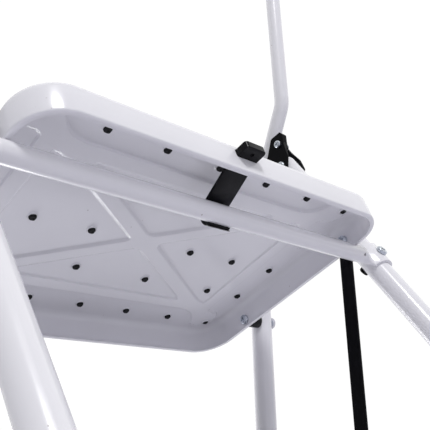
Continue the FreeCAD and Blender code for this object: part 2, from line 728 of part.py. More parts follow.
def all_nodes():
    nodes = {}
    for name, side in sides.items():
        nodes["front_leg_" + name] = front_leg(side)
        nodes["rear_leg_" + name] = rear_leg(side)
        nodes["front_foot_" + name] = foot(front_axis(0), front_up, side)
        nodes["rear_foot_" + name] = foot(rear_axis(0), rear_up, side)
        nodes["hinge_bracket_" + name] = hinge_bracket(side)
        nodes["link_bar_" + name] = link_bar(side)
    nodes["handrail"] = handrail()
    nodes["handrail_grip"] = handrail_grip()
    nodes["leg_top_collars"] = both_sides(leg_top_collar)
    nodes["bracket_bolts"] = cheek_group(cheek_bolt, bracket_points, screw_r)
    nodes["bracket_nuts"] = cheek_group(cheek_nut, bracket_points, screw_r)
    nodes["stop_bolts"] = both_sides(stop_bolt)
    nodes["stop_posts"] = both_sides(stop_post)
    nodes["hinge_pivot_bolts"] = cheek_group(cheek_bolt, [hinge], bolt_r)
    nodes["hinge_pivot_nuts"] = cheek_group(cheek_nut, [hinge], bolt_r)
    rear_heights = [crossbar_height, rear_brace_height]
    nodes["rear_crossbar"] = saddle_bar(crossbar_height, rear_axis, rear_up, rear_rear_way)
    nodes["rear_lower_brace"] = saddle_bar(rear_brace_height, rear_axis, rear_up, rear_rear_way)
    nodes["rear_frame_screws"] = saddle_group(saddle_screw, rear_heights, rear_axis, rear_rear_way)
    nodes["rear_frame_cap_nuts"] = saddle_group(saddle_nut, rear_heights, rear_axis, rear_rear_way)
    nodes["front_lower_brace"] = saddle_bar(front_brace_height, front_axis, front_up, front_rear_way)
    nodes["front_brace_screws"] = saddle_group(saddle_screw, [front_brace_height], front_axis, front_rear_way)
    nodes["front_brace_cap_nuts"] = saddle_group(saddle_nut, [front_brace_height], front_axis, front_rear_way)
    nodes["step_pivot_bolts"] = pivot_bolts()
    nodes["step_pivot_spacers"] = pivot_spacers()
    nodes["step_pivot_nuts"] = pivot_nuts()
    for step, name in enumerate(step_names):
        nodes[name + "_pan"] = pan(step)
        nodes[name + "_mat"] = mat(step)
        nodes[name + "_link_bolts"] = link_bolts(step)
        nodes[name + "_link_nuts"] = link_nuts(step)
    nodes["latch_hook"] = latch_hook()
    nodes["latch_spring"] = latch_spring()
    return nodes


os.makedirs("parts", exist_ok=True)
for node_name, shape in all_nodes().items():
    shape.exportStep("parts/" + node_name + ".step")
    size = shape.BoundBox
    solids = len(shape.Solids)
    print(f"{node_name}: {solids} solid(s), volume {shape.Volume:.0f} mm3, valid {shape.isValid()}, "
          f"x {size.XMin:.1f} to {size.XMax:.1f}, y {size.YMin:.1f} to {size.YMax:.1f}, "
          f"z {size.ZMin:.1f} to {size.ZMax:.1f}")
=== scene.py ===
import math

import bmesh
import bpy
import numpy as np
from mathutils import Matrix, Vector


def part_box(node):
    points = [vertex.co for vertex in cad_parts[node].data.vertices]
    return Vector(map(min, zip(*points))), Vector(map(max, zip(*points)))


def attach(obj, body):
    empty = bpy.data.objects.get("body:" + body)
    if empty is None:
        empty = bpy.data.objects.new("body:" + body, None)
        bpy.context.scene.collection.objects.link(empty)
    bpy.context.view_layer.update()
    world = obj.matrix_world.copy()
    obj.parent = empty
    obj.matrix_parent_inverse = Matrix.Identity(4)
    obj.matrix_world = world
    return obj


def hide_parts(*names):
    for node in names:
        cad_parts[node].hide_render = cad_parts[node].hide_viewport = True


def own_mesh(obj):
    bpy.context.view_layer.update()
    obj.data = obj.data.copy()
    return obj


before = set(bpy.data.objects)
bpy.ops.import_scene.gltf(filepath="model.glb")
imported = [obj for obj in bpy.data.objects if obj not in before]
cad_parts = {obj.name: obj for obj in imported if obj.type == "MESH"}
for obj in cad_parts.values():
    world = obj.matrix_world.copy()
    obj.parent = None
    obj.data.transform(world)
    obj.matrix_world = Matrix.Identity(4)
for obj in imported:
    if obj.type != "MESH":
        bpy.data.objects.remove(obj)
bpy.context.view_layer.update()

# Sizes in millimetres; meshes are scaled to metres when they are made --------
MM = 0.001
sheet = 1.2                   # thickness of the pressed steps
edge_r = 9.0                  # the rounded edge from a skirt to the panel
hem_width = 5.3               # how far the hem turns in
hem_r = 1.8                   # the rounded outer edge of the hem
step_corner_r = 38.0          # a step's corners in plan
lower_rear_corner_r = 12.0    # the rear corners of the two lower steps
platform_pitch = 1.37         # grid spacing of the platform's panel
step_pitch = 2.0              # the same for the lower steps
pattern_offset = -2.0         # from a pan's middle to the middle of its bands and pegs
band_depth = 2.0              # how far the pressed bands stand down
band_half = 8.2               # half a band's width
band_wall = 1.7               # width of a band's sloping side
band_blend = 7.0              # how softly the bands run into each other
mat_thickness = 4.7
mat_inset = 12.0              # from the pan's edge to the mat's
peg_inset = 27.8              # from the pan's edge to the outermost row of pegs
peg_r = 3.26
peg_length = 4.4              # below the mat's underside

# Angles in degrees above which an edge stays sharp
plain_crease = 38.0
pan_crease = 50.0
mat_crease = 35.0
latch_crease = 45.0
round_crease = 60.0
cut_crease = 32.0


def box_mm(node):
    low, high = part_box(node)
    return np.array(low) / MM, np.array(high) / MM


# Mesh helpers ----------------------------------------------------------------
def make_object(name, points, faces, crease=plain_crease, open_top=False):
    """A smooth object with creases; an open top is a level face with holes, which is filled in."""
    mesh = bpy.data.meshes.new(name)
    mesh.from_pydata([tuple(float(c) * MM for c in p) for p in points], [], faces)
    work = bmesh.new()
    work.from_mesh(mesh)
    if open_top:
        rims = [edge for edge in work.edges if edge.is_boundary]
        bmesh.ops.triangle_fill(work, use_beauty=True, edges=rims, normal=(0, 0, 1))
    bmesh.ops.recalc_face_normals(work, faces=work.faces)
    work.to_mesh(mesh)
    work.free()
    mesh.shade_smooth()
    mesh.set_sharp_from_angle(angle=math.radians(crease))
    piece = bpy.data.objects.new(name, mesh)
    bpy.context.scene.collection.objects.link(piece)
    return piece


def set_up(piece, body, slot, *replaced):
    """Gives a piece its finish, the body it rides on and the CAD nodes it stands for."""
    piece.data.materials.clear()
    piece.data.materials.append(finishes[slot])
    if replaced:
        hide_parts(*replaced)
    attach(piece, body)


def bridge(first, second):
    """Quads between two closed loops of vertex numbers."""
    count = len(first)
    return [(first[i], first[(i + 1) % count], second[(i + 1) % count], second[i])
            for i in range(count)]


def arc(centre, radius, start, end, steps):
    """Points on an arc, by angles in degrees."""
    angles = np.radians(np.linspace(start, end, steps + 1))
    return [(centre[0] + radius * math.cos(a), centre[1] + radius * math.sin(a)) for a in angles]


def revolve(profile, origin, axis, sides=32, lobes=0, lobe_depth=0.0):
    """A form turned about an axis, from a profile of (radius, height); lobes make it less round."""
    axis = Vector(axis).normalized()
    across = axis.orthogonal().normalized()
    other = axis.cross(across)
    origin = Vector(origin)
    points, loops = [], []
    for radius, height in profile:
        if radius == 0:
            loops.append([len(points)])
            points.append(origin + axis * height)
            continue
        loop = []
        for k in range(sides):
            turn = 2 * math.pi * k / sides
            reach = radius * (1 + lobe_depth * math.cos(lobes * turn))
            loop.append(len(points))
            way = across * math.cos(turn) + other * math.sin(turn)
            points.append(origin + axis * height + way * reach)
        loops.append(loop)
    faces = []
    for a, b in zip(loops, loops[1:]):
        if len(a) == 1:
            faces += [(a[0], b[i], b[(i + 1) % sides]) for i in range(sides)]
        elif len(b) == 1:
            faces += [(b[0], a[i], a[(i + 1) % sides]) for i in range(sides)]
        else:
            faces += bridge(a, b)
    return points, faces


def merged(parts):
    """One list of points and faces from several."""
    points, faces = [], []
    for more_points, more_faces in parts:
        start = len(points)
        points += list(more_points)
        faces += [tuple(i + start for i in face) for face in more_faces]
    return points, faces


# Finishes --------------------------------------------------------------------
def add_node(tree, kind, **values):
    """A shader node with the given inputs or settings."""
    node = tree.nodes.new(kind)
    for key, value in values.items():
        if key in node.inputs:
            node.inputs[key].default_value = value
        else:
            setattr(node, key, value)
    return node


def noise(tree, place, scale, detail=3.0, rough=0.55):
    node = add_node(tree, "ShaderNodeTexNoise", Scale=scale, Detail=detail, Roughness=rough)
    tree.links.new(place, node.inputs["Vector"])
    return node.outputs["Fac"]


def remap(tree, value, low, high, to_low, to_high):
    node = add_node(tree, "ShaderNodeMapRange")
    keys = ("From Min", "From Max", "To Min", "To Max")
    for key, number in zip(keys, (low, high, to_low, to_high)):
        node.inputs[key].default_value = number
    tree.links.new(value, node.inputs["Value"])
    return node.outputs["Result"]


def blend_colour(tree, share, first, second):
    node = add_node(tree, "ShaderNodeMix", data_type="RGBA")
    tree.links.new(share, node.inputs["Factor"])
    for key, colour in (("A", first), ("B", second)):
        socket = [s for s in node.inputs if s.name == key and s.type == "RGBA"][0]
        if isinstance(colour, tuple):
            socket.default_value = (*colour, 1.0)
        else:
            tree.links.new(colour, socket)
    return [s for s in node.outputs if s.type == "RGBA"][0]


def times(tree, first, second):
    node = add_node(tree, "ShaderNodeMath", operation="MULTIPLY")
    tree.links.new(first, node.inputs[0])
    tree.links.new(second, node.inputs[1])
    return node.outputs["Value"]


def start_finish(name, **shader_values):
    """A material, its tree, its shader and the object's own coordinates."""
    material = bpy.data.materials.new(name)
    material.use_nodes = True
    tree = material.node_tree
    shader = tree.nodes["Principled BSDF"]
    for key, value in shader_values.items():
        shader.inputs[key.replace("_", " ")].default_value = value
    place = tree.nodes.new("ShaderNodeTexCoord").outputs["Object"]
    return material, tree, shader, place


def add_bump(tree, shader, height, strength, distance):
    node = add_node(tree, "ShaderNodeBump", Strength=strength, Distance=distance)
    tree.links.new(height, node.inputs["Height"])
    tree.links.new(node.outputs["Normal"], shader.inputs["Normal"])


def specks(tree, place, scale, size, share):
    """A mask of small round specks, scattered unevenly."""
    cells = add_node(tree, "ShaderNodeTexVoronoi", Scale=scale)
    tree.links.new(place, cells.inputs["Vector"])
    near = remap(tree, cells.outputs["Distance"], size * 0.6, size, 1.0, 0.0)
    chosen = remap(tree, noise(tree, place, scale * 0.21, 2.0), share, share + 0.04, 0.0, 1.0)
    return times(tree, near, chosen)


def powder_coat(name, light, dark, speck_colour, rough_low, rough_high, specular):
    """Baked powder paint: faint orange peel, a slow change of tone and a few specks of dust."""
    material, tree, shader, place = start_finish(
        name, Coat_Weight=0.6 * specular, Coat_Roughness=0.06, Specular_IOR_Level=specular)
    tone = remap(tree, noise(tree, place, 9.0, 4.0), 0.35, 0.65, 0.0, 1.0)
    colour = blend_colour(tree, tone, light, dark)
    colour = blend_colour(tree, specks(tree, place, 95.0, 0.075, 0.60), colour, speck_colour)
    tree.links.new(colour, shader.inputs["Base Color"])
    smears = remap(tree, noise(tree, place, 28.0, 5.0), 0.3, 0.7, rough_low, rough_high)
    tree.links.new(smears, shader.inputs["Roughness"])
    add_bump(tree, shader, noise(tree, place, 420.0, 2.0), 0.045, 0.0004)
    return material


def moulded(name, light, dark, rough_low, rough_high, grain_scale, grain_strength, specular):
    """Moulded plastic or rubber: fine grain, scuffs and a slow change of tone."""
    material, tree, shader, place = start_finish(name, Specular_IOR_Level=specular)
    scuffs = remap(tree, noise(tree, place, 60.0, 6.0, 0.65), 0.42, 0.72, 0.0, 1.0)
    colour = blend_colour(tree, scuffs, dark, light)
    tree.links.new(colour, shader.inputs["Base Color"])
    tree.links.new(remap(tree, noise(tree, place, 45.0, 4.0), 0.3, 0.7, rough_low, rough_high),
                   shader.inputs["Roughness"])
    add_bump(tree, shader, noise(tree, place, grain_scale, 3.0), grain_strength, 0.0004)
    return material


def plated(name):
    """Zinc-plated steel: bluish, with darker blotches and fine turning marks."""
    material, tree, shader, place = start_finish(name, Metallic=1.0)
    blotches = remap(tree, noise(tree, place, 160.0, 4.0), 0.35, 0.7, 0.0, 1.0)
    tree.links.new(blend_colour(tree, blotches, (0.78, 0.82, 0.88), (0.40, 0.44, 0.50)),
                   shader.inputs["Base Color"])
    tree.links.new(remap(tree, noise(tree, place, 300.0, 4.0), 0.3, 0.7, 0.22, 0.42),
                   shader.inputs["Roughness"])
    add_bump(tree, shader, noise(tree, place, 1500.0, 2.0), 0.15, 0.0002)
    return material


finishes = {
    "white_powder_coat": powder_coat(
        "white powder coat", light=(0.80, 0.795, 0.835), dark=(0.78, 0.775, 0.815),
        speck_colour=(0.30, 0.27, 0.26), rough_low=0.16, rough_high=0.26, specular=0.5),
    "black_powder_coat": powder_coat(
        "black powder coat", light=(0.002, 0.002, 0.003), dark=(0.004, 0.004, 0.006),
        speck_colour=(0.10, 0.085, 0.06), rough_low=0.26, rough_high=0.40, specular=0.06),
    "black_plastic": moulded(
        "black plastic", light=(0.006, 0.006, 0.008), dark=(0.002, 0.002, 0.003),
        rough_low=0.14, rough_high=0.30, grain_scale=900.0, grain_strength=0.10, specular=0.15),
    "black_rubber": moulded(
        "black rubber", light=(0.018, 0.018, 0.019), dark=(0.007, 0.007, 0.008),
        rough_low=0.55, rough_high=0.80, grain_scale=1400.0, grain_strength=0.35, specular=0.2),
    "zinc_steel": plated("zinc steel"),
}

# The finish of every CAD node, by the name of the material it came with
node_slots = {node: piece.data.materials[0].name for node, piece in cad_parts.items()}


# Steps -----------------------------------------------------------------------
def smooth_min(a, b, k):
    """The smaller of two distances, blended over a width of k where they are close."""
    share = np.clip(0.5 + 0.5 * (b - a) / k, 0, 1)
    return b + (a - b) * share - k * share * (1 - share)


def distance_to_box(x, y, half_x, half_y, radius):
    """Distance to a rounded rectangle about the origin, negative inside it."""
    over_x = np.abs(x) - half_x + radius
    over_y = np.abs(y) - half_y + radius
    outside = np.hypot(np.maximum(over_x, 0), np.maximum(over_y, 0))
    return outside + np.minimum(np.maximum(over_x, over_y), 0) - radius


flare_start = 0.86            # along an arm, where it begins to widen
flare_width = 9.0             # how much wider it is on each side at its end
ring_inset_x = 39.8           # from the pan's ends to the ring of bands
ring_inset_y = 46.6           # the same from its front and rear
ring_outer_r = 6.0
ring_inner_r = 3.0
arm_inset_x = 33.6            # from the pan's ends to the ends of the diagonal arms
arm_inset_y = 34.8            # the same from its front and rear


def distance_to_arm(x, y, end_x, end_y):
    """Distance to a band through the middle that widens where it nears the pan's corners."""
    along = np.clip((x * end_x + y * end_y) / (end_x ** 2 + end_y ** 2), -1, 1)
    widening = np.clip((np.abs(along) - flare_start) / (1 - flare_start), 0, 1)
    return np.hypot(x - along * end_x, y - along * end_y) - band_half - flare_width * widening ** 2


def pressing(x, y, half_x, half_depth):
    """How far the panel is pressed down at a place measured from its middle."""
    ring_x, ring_y = half_x - ring_inset_x, half_depth - ring_inset_y
    hole_x, hole_y = ring_x - 2 * band_half, ring_y - 2 * band_half
    ring = np.maximum(distance_to_box(x, y, ring_x, ring_y, ring_outer_r),
                      -distance_to_box(x, y, hole_x, hole_y, ring_inner_r))
    end_x, end_y = half_x - arm_inset_x, half_depth - arm_inset_y
    rising = distance_to_arm(x, y, end_x, end_y)
    falling = distance_to_arm(x, y, end_x, -end_y)
    arms = smooth_min(rising, falling, band_blend)
    share = np.clip(0.5 - smooth_min(ring, arms, band_blend) / band_wall, 0, 1)
    return band_depth * share * share * (3 - 2 * share)


peg_pitch = 60.0              # along the outer rows of pegs
between_share = 0.48          # where the rows between lie, of the way to the outermost
between_xs = (-180.0, -131.2, -42.2, 42.2, 131.2, 180.0)


def peg_places(half_depth):
    """Where the mat's pegs go through, from the panel's middle."""
    last_row = half_depth - peg_inset
    outer_xs = [peg_pitch * i for i in range(-3, 4)]
    middle_xs = [x for x in outer_xs if x != 0]
    rows = ((1.0, outer_xs), (between_share, between_xs), (0.0, middle_xs),
            (-between_share, between_xs), (-1.0, outer_xs))
    return [(x, share * last_row + pattern_offset) for share, xs in rows for x in xs]


peg_cell = 5.6                # half the square of panel that is laid out round a peg
outer_cell = 7.0              # the same on the side of the outermost rows that faces the edge


def cell_ends(centre, centres):
    """Where the square of panel round a peg begins and ends along one direction."""
    before = outer_cell if centre == min(centres) else peg_cell
    after = outer_cell if centre == max(centres) else peg_cell
    return centre - before, centre + after


def grid_lines(end, centres, pitch):
    """Grid lines from -end to end, with one on each side of every peg."""
    marks = {-end, end}
    for centre in centres:
        marks.update(round(mark, 4) for mark in cell_ends(centre, centres))
    marks = sorted(marks)
    lines = []
    for low, high in zip(marks, marks[1:]):
        count = max(1, round((high - low) / pitch))
        lines += [low + (high - low) * i / count for i in range(count)]
    return np.array(lines + [end])


class Outline:
    """A rounded rectangle about the origin, whose corners at -y and +y may differ."""

    def __init__(self, half_x, half_y, front_r, rear_r):
        self.half_x, self.half_y = half_x, half_y
        self.radii = (front_r, rear_r)

    def corner(self, x, y):
        """The nearest corner's radius, and how far into that corner a place lies in x and y."""
        radius = self.radii[1] if y > 0 else self.radii[0]
        over_x = (abs(x) - self.half_x + radius) / radius
        over_y = (abs(y) - self.half_y + radius) / radius
        return radius, over_x, over_y

    def place(self, x, y):
        """Moves a point of the square-cornered grid to the round-cornered plan."""
        radius, over_x, over_y = self.corner(x, y)
        if over_x <= 0 or over_y <= 0:
            return x, y
        new_x = self.half_x - radius + radius * over_x * math.sqrt(1 - over_y ** 2 / 2)
        new_y = self.half_y - radius + radius * over_y * math.sqrt(1 - over_x ** 2 / 2)
        return math.copysign(new_x, x), math.copysign(new_y, y)

    def outward(self, x, y):
        """The outward direction at a place on the square-cornered edge."""
        radius, over_x, over_y = self.corner(x, y)
        if over_x > 0 and over_y > 0:
            px, py = self.place(x, y)
            way = np.array([abs(px) - self.half_x + radius, abs(py) - self.half_y + radius]) / radius
            return way * np.sign([x, y])
        if over_x > over_y:
            return np.array([math.copysign(1.0, x), 0.0])
        return np.array([0.0, math.copysign(1.0, y)])


def edge_cells(count_x, count_y):
    """Grid indices round the edge of a grid, anticlockwise from its lowest corner."""
    lower = [(i, 0) for i in range(count_x)]
    right = [(count_x, j) for j in range(count_y)]
    upper = [(i, count_y) for i in range(count_x, 0, -1)]
    left = [(0, j) for j in range(count_y, 0, -1)]
    return lower + right + upper + left


hem_inner_r = 1.0             # between a skirt's inside and its hem


def pan_profile(height):
    """The pan's section as (outward, height): the panel's underside, round the hem and back up."""
    inner_r = edge_r - sheet
    profile = arc((0, -edge_r), inner_r, 90, 0, 8)[1:]
    profile += arc((inner_r - hem_inner_r, -height + sheet + hem_inner_r), hem_inner_r, 0, -90, 3)
    profile += arc((edge_r - hem_width + sheet / 2, -height + sheet / 2), sheet / 2, 90, 270, 4)
    profile += arc((edge_r - hem_r, -height + hem_r), hem_r, -90, 0, 4)
    profile += arc((0, -edge_r), edge_r, 0, 90, 9)
    return profile


hole_r = 3.6                  # the panel's holes for the pegs
flange_r = 4.7                # outside of the collar that each hole is drawn down into
flange_drop = 1.2
flange_rings = (              # its section, as (radius, below the panel's underside)
    (flange_r + 0.35, 0.0), (flange_r, 0.3), (flange_r - 0.1, flange_drop - 0.3),
    (flange_r - 0.4, flange_drop), (hole_r + 0.25, flange_drop), (hole_r, flange_drop - 0.3))


def pressed_pan(name, front_r, rear_r, pitch):
    """A step pressed from sheet: bands, flanged peg holes, deep skirts and a turned-in hem."""
    low, high = box_mm(name + "_pan")
    middle = (low + high) / 2
    half_x, half_depth = (high - low)[0] / 2, (high - low)[1] / 2
    top = high[2]
    outline = Outline(half_x - edge_r, half_depth - edge_r, front_r - edge_r, rear_r - edge_r)
    pegs = peg_places(half_depth)
    rows = sorted({y for x, y in pegs})
    columns = sorted({x for x, y in pegs})
    xs = grid_lines(outline.half_x, columns, pitch)
    ys = grid_lines(outline.half_y, rows, pitch)
    count_x, count_y = len(xs) - 1, len(ys) - 1
    plan = np.array([[outline.place(x, y) for y in ys] for x in xs])
    down = pressing(plan[..., 0], plan[..., 1] - pattern_offset, half_x, half_depth)
    points, faces = [], []

    def add_loop(places, z):
        start = len(points)
        points.extend((middle[0] + x, middle[1] + y, top + z) for x, y in places)
        return list(range(start, len(points)))

    cells = {}
    for peg in pegs:
        i0, i1 = [int(np.argmin(np.abs(xs - mark))) for mark in cell_ends(peg[0], columns)]
        j0, j1 = [int(np.argmin(np.abs(ys - mark))) for mark in cell_ends(peg[1], rows)]
        cells[peg] = (i0, i1, j0, j1)
    taken = np.zeros((count_x, count_y), bool)
    for i0, i1, j0, j1 in cells.values():
        taken[i0:i1, j0:j1] = True

    number = {}
    for i in range(count_x + 1):
        for j in range(count_y + 1):
            number[i, j] = len(points)
            points.append((middle[0] + plan[i, j, 0], middle[1] + plan[i, j, 1],
                           top - sheet - down[i, j]))
    faces += [(number[i, j], number[i + 1, j], number[i + 1, j + 1], number[i, j + 1])
              for i in range(count_x) for j in range(count_y) if not taken[i, j]]

    for (px, py), (i0, i1, j0, j1) in cells.items():
        rim = [(i0 + i, j0 + j) for i, j in edge_cells(i1 - i0, j1 - j0)]
        ways = [plan[k] - (px, py) for k in rim]
        ways = [way / np.hypot(*way) for way in ways]
        level = -sheet - float(np.mean([down[k] for k in rim]))
        last_loop = [number[k] for k in rim]
        rings = [(radius, level - drop) for radius, drop in flange_rings] + [(hole_r, 0.0)]
        for radius, z in rings:
            loop = add_loop([(px + way[0] * radius, py + way[1] * radius) for way in ways], z)
            faces.extend(bridge(last_loop, loop))
            last_loop = loop

    edge = edge_cells(count_x, count_y)
    corners = [(plan[i, j], outline.outward(xs[i], ys[j])) for i, j in edge]
    last_loop = [number[k] for k in edge]
    for out, z in pan_profile(high[2] - low[2]):
        loop = add_loop([place + way * out for place, way in corners], z)
        faces.extend(bridge(last_loop, loop))
        last_loop = loop
    used = sorted({i for face in faces for i in face})
    renumber = {old: new for new, old in enumerate(used)}
    points = [points[i] for i in used]
    faces = [tuple(renumber[i] for i in face) for face in faces]
    pan = make_object(name + "_pressed_pan", points, faces, pan_crease, open_top=True)
    if name == "platform":
        cut_away(pan, *slot_cutter())
    set_up(pan, name, "white_powder_coat", name + "_pan")


def slab(outline, profile, origin, grid, levels):
    """A slab whose top is a grid with a level for each y; its sides follow (inward, height)."""
    xs, ys = grid
    count_x, count_y = len(xs) - 1, len(ys) - 1
    points = []
    for x in xs:
        for y, level in zip(ys, levels):
            px, py = outline.place(x, y)
            points.append((origin[0] + px, origin[1] + py, origin[2] + level))

    def number(i, j):
        return i * (count_y + 1) + j

    faces = [(number(i, j), number(i + 1, j), number(i + 1, j + 1), number(i, j + 1))
             for i in range(count_x) for j in range(count_y)]
    edge = edge_cells(count_x, count_y)
    last_loop = [number(i, j) for i, j in edge]
    for inward, z in profile:
        start = len(points)
        for i, j in edge:
            way = outline.outward(xs[i], ys[j])
            place = np.array(outline.place(xs[i], ys[j])) - way * inward
            points.append((origin[0] + place[0], origin[1] + place[1], origin[2] + z))
        loop = list(range(start, len(points)))
        faces += bridge(last_loop, loop)
        last_loop = loop
    faces.append(tuple(last_loop))
    return points, faces


mat_rib_pitch = 6.0
mat_rib_height = 0.9
rib_section = ((-1.9, 1.0), (-1.4, 0.15), (0.0, 0.0), (1.4, 0.15), (1.9, 1.0))
mat_top_inset = 2.0           # from the mat's edge to where its top begins to round off
least_corner_r = 4.0          # of a mat
rib_margin = 4.0              # from where the top rounds off to the outermost rib
peg_lobes = 4                 # the pegs are squarish
peg_lobe_depth = 0.085


def ribbed_mat(name, front_r, rear_r):
    """A rubber mat with ribs across its top and squarish pegs under it."""
    low, high = box_mm(name + "_mat")
    middle = (low + high) / 2
    half_x, half_y = (high - low)[0] / 2, (high - low)[1] / 2
    outline = Outline(half_x - mat_top_inset, half_y - mat_top_inset,
                      front_r - mat_inset - mat_top_inset,
                      max(rear_r - mat_inset, least_corner_r) - mat_top_inset)
    rib_count = int((outline.half_y - rib_margin) / mat_rib_pitch)
    ys, levels = [-outline.half_y], [-mat_rib_height]
    for k in range(-rib_count, rib_count + 1):
        for across, share in rib_section:
            ys.append(k * mat_rib_pitch + across)
            levels.append(-mat_rib_height * share)
    ys.append(outline.half_y)
    levels.append(-mat_rib_height)
    corner = [outline.half_x - inward for inward in np.linspace(0, front_r, 12)]
    xs = [-x for x in corner] + list(reversed(corner))
    bottom = -mat_thickness
    profile = [(-1.2, -1.2), (-mat_top_inset, -2.2), (-mat_top_inset, bottom + 0.5), (-1.5, bottom)]
    top = (middle[0], middle[1], high[2])
    parts = [slab(outline, profile, top, (np.array(xs), np.array(ys)), levels)]
    pan_low, pan_high = box_mm(name + "_pan")
    pan_middle = (pan_low + pan_high) / 2
    peg_profile = [(0, 1.0), (peg_r, 1.0), (peg_r, -peg_length + 0.7), (peg_r * 0.86, -peg_length),
                   (1.2, -peg_length), (0.8, -peg_length + 0.5), (0, -peg_length + 0.6)]
    for x, y in peg_places((pan_high - pan_low)[1] / 2):
        place = (pan_middle[0] + x, pan_middle[1] + y, high[2] - mat_thickness)
        parts.append(revolve(peg_profile, place, (0, 0, 1), 24, peg_lobes, peg_lobe_depth))
    piece = make_object(name + "_ribbed_mat", *merged(parts), mat_crease)
    set_up(piece, name, node_slots[name + "_mat"], name + "_mat")


def prism(outline, x0, x1, bevel):
    """A form of one outline from x0 to x1, with a small bevel at both ends."""
    count = len(outline)
    outline = np.array(outline, float)
    before, after = np.roll(outline, 1, axis=0), np.roll(outline, -1, axis=0)
    first, second = outline - before, after - outline
    first /= np.linalg.norm(first, axis=1)[:, None]
    second /= np.linalg.norm(second, axis=1)[:, None]
    inner = np.stack([-(first + second)[:, 1], (first + second)[:, 0]], axis=1)
    area = np.sum(outline[:, 0] * after[:, 1] - after[:, 0] * outline[:, 1])
    divisor = np.maximum(np.sum(inner * inner, axis=1) / 2, 0.4)      # no spikes at acute corners
    inner *= np.sign(area) / divisor[:, None]
    points, faces = [], []
    for x, draw_in in ((x0, bevel), (x0 + bevel, 0), (x1 - bevel, 0), (x1, bevel)):
        points += [(x, *(place + way * draw_in)) for place, way in zip(outline, inner)]
    loops = [range(k * count, (k + 1) * count) for k in range(4)]
    for first, second in zip(loops, loops[1:]):
        faces += bridge(first, second)
    faces += [tuple(loops[0]), tuple(loops[-1])]
    return points, faces


def cut_away(piece, points, faces):
    """Takes a closed form out of a piece."""
    cutter = make_object("cutter", points, faces)
    modifier = piece.modifiers.new("cut", "BOOLEAN")
    modifier.operation = "DIFFERENCE"
    modifier.solver = "EXACT"
    modifier.object = cutter
    graph = bpy.context.evaluated_depsgraph_get()
    solid = bpy.data.meshes.new_from_object(piece.evaluated_get(graph))
    piece.modifiers.clear()
    solid.shade_smooth()
    solid.set_sharp_from_angle(angle=math.radians(cut_crease))
    piece.data = solid
    bpy.data.objects.remove(cutter)


def rounded_rectangle(u0, u1, v0, v1, radius, steps=5):
    """The outline of a rectangle from (u0, v0) to (u1, v1) with round corners."""
    corners = ((u1 - radius, v0 + radius, -90), (u1 - radius, v1 - radius, 0),
               (u0 + radius, v1 - radius, 90), (u0 + radius, v0 + radius, 180))
    return [p for u, v, start in corners for p in arc((u, v), radius, start, start + 90, steps)]


# The latch, from the platform's rear face and the top of its mat ---------------
pan_rear = box_mm("platform_pan")[1][1]
mat_top = box_mm("platform_mat")[1][2]
hook_low, hook_high = box_mm("latch_hook")
button_half = 12.0
button_out = hook_high[1] - pan_rear
button_in = 7.6               # how far the button reaches in from the rear skirt's face
button_top = mat_top - 14.5
button_under = mat_top - 22.0
button_corner_r = 3.4
button_bevel = 0.8
slot_gap = 0.4                # round the button
slot_corner_r = 1.2
cut_margin = 1.5              # how far the slot's cutter reaches past both faces of the skirt


def slot_cutter():
    """The closed slot that the push button slides through."""
    section = rounded_rectangle(-button_half - slot_gap, button_half + slot_gap,
                                button_under - slot_gap, button_top + slot_gap, slot_corner_r)
    near, far = pan_rear - sheet - cut_margin, pan_rear + cut_margin
    points = [(x, y, z) for y in (near, far) for x, z in section]
    first, second = range(len(section)), range(len(section), len(points))
    return points, bridge(first, second) + [tuple(first), tuple(second)]


def button_form():
    """The push button: rounded corners in plan, and softened top and bottom edges."""
    near, far = pan_rear - button_in, pan_rear + button_out
    outline = rounded_rectangle(-button_half, button_half, near, far, button_corner_r, 8)
    points, faces = prism(outline, button_under, button_top, button_bevel)
    return [(x, y, z) for z, x, y in points], faces


plate_half = 5.0              # half the width of the tab and of the spring's seat
plate_bevel = 0.4


def upright(y0, y1, z0, z1):
    """A small upright plate in the middle of the latch."""
    return prism([(y0, z0), (y1, z0), (y1, z1), (y0, z1)], -plate_half, plate_half, plate_bevel)


strap_gap = 0.3               # between the strap's end and the skirt's inside
nose_bulge = 1.2              # how far the hook's tip stands out past its section
curve_steps = 22


def strap_section(bar_y, bar_z, inner, thickness, slope, tip):
    """The strap and its hook as an outline in (y, z): over the bar and round its front."""
    outer = inner + thickness
    end_y = pan_rear - sheet - strap_gap
    rise = math.tan(math.radians(slope))
    along = math.cos(math.radians(slope))
    up_inner = bar_z + inner / along + (end_y - bar_y) * rise
    up_outer = bar_z + outer / along + (end_y - bar_y) * rise
    start = 90 + slope
    nose = 180 + tip
    curve = arc((bar_y, bar_z), outer, start, nose, curve_steps)
    back = arc((bar_y, bar_z), inner, nose, start, curve_steps)
    turn = math.radians(nose)
    reach = inner + thickness / 2
    round_nose = (bar_y + reach * math.cos(turn) + nose_bulge * math.sin(turn),
                  bar_z + reach * math.sin(turn) - nose_bulge * math.cos(turn))
    return [(end_y, up_inner), (end_y, up_outer)] + curve + [round_nose] + back


def coil(centre_x, centre_z, y0, y1, turns, radius, wire, steps=20, sides=8):
    """A spring's wire wound about a line along y."""
    count = turns * steps
    points, faces = [], []
    for k in range(count + 1):
        turn = 2 * math.pi * k / steps
        y = y0 + wire + (y1 - y0 - 2 * wire) * k / count
        for i in range(sides):
            around = 2 * math.pi * i / sides
            reach = radius + wire * math.cos(around)
            points.append((centre_x + reach * math.cos(turn), y + wire * math.sin(around),
                           centre_z + reach * math.sin(turn)))
    loops = [range(k * sides, (k + 1) * sides) for k in range(count + 1)]
    for first, second in zip(loops, loops[1:]):
        faces += bridge(first, second)
    faces += [tuple(loops[0]), tuple(loops[-1])]
    return points, faces


